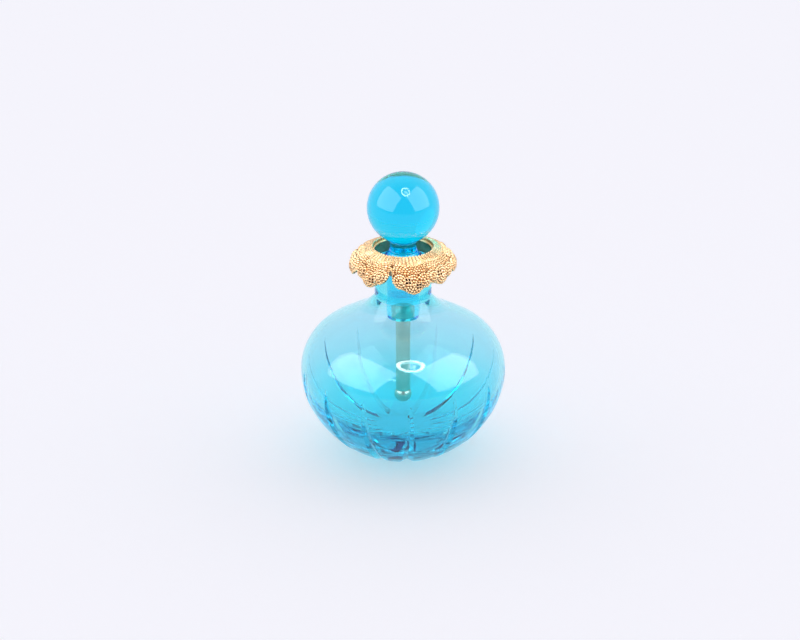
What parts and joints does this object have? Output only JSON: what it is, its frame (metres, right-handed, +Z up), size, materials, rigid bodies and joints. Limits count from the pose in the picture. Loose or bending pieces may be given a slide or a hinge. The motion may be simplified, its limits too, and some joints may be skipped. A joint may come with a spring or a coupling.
{
  "type": "scent bottle",
  "caption": "Squat fluted blue glass scent bottle with a ball stopper, a gilt dauber rod and a petalled gilt filigree collar round the neck.",
  "frame": {"origin": "centre of the foot, on the surface that the bottle stands on", "axes": "+Z up along the bottle's axis, -Y towards the front"},
  "size_m": [0.08, 0.08, 0.1144],
  "materials": {
    "bottle_glass": "polished clear light blue, deep blue in the thick base",
    "stopper_glass": "polished clear mid blue",
    "dauber_metal": "satin gilt",
    "collar_gilt": "bright gilt filigree"
  },
  "bodies": {
    "bottle": {"bottle_body": "bottle_glass", "bottle_neck": "bottle_glass"},
    "stopper": {"stopper_ball": "stopper_glass", "stopper_stem": "stopper_glass", "dauber_rod": "dauber_metal", "dauber_tip": "dauber_metal"},
    "collar": {"collar_band": "collar_gilt", "rim_wire": "collar_gilt", "gallery_ring": "collar_gilt", "gallery_ribs": "collar_gilt", "petal_1": "collar_gilt", "petal_2": "collar_gilt", "petal_3": "collar_gilt", "petal_4": "collar_gilt", "petal_5": "collar_gilt", "petal_6": "collar_gilt", "petal_7": "collar_gilt", "petal_8": "collar_gilt", "petal_grains": "collar_gilt", "arc_wires": "collar_gilt"}
  },
  "joints": [
    {"name": "stopper_lift", "type": "slide", "parent": "bottle", "child": "stopper", "axis": [0, 0, 1], "range_m": [0, 0.07]},
    {"name": "collar_turn", "type": "hinge", "parent": "bottle", "child": "collar", "pos_m": [0, 0, 0.08], "axis": [0, 0, 1], "continuous": true}
  ]
}
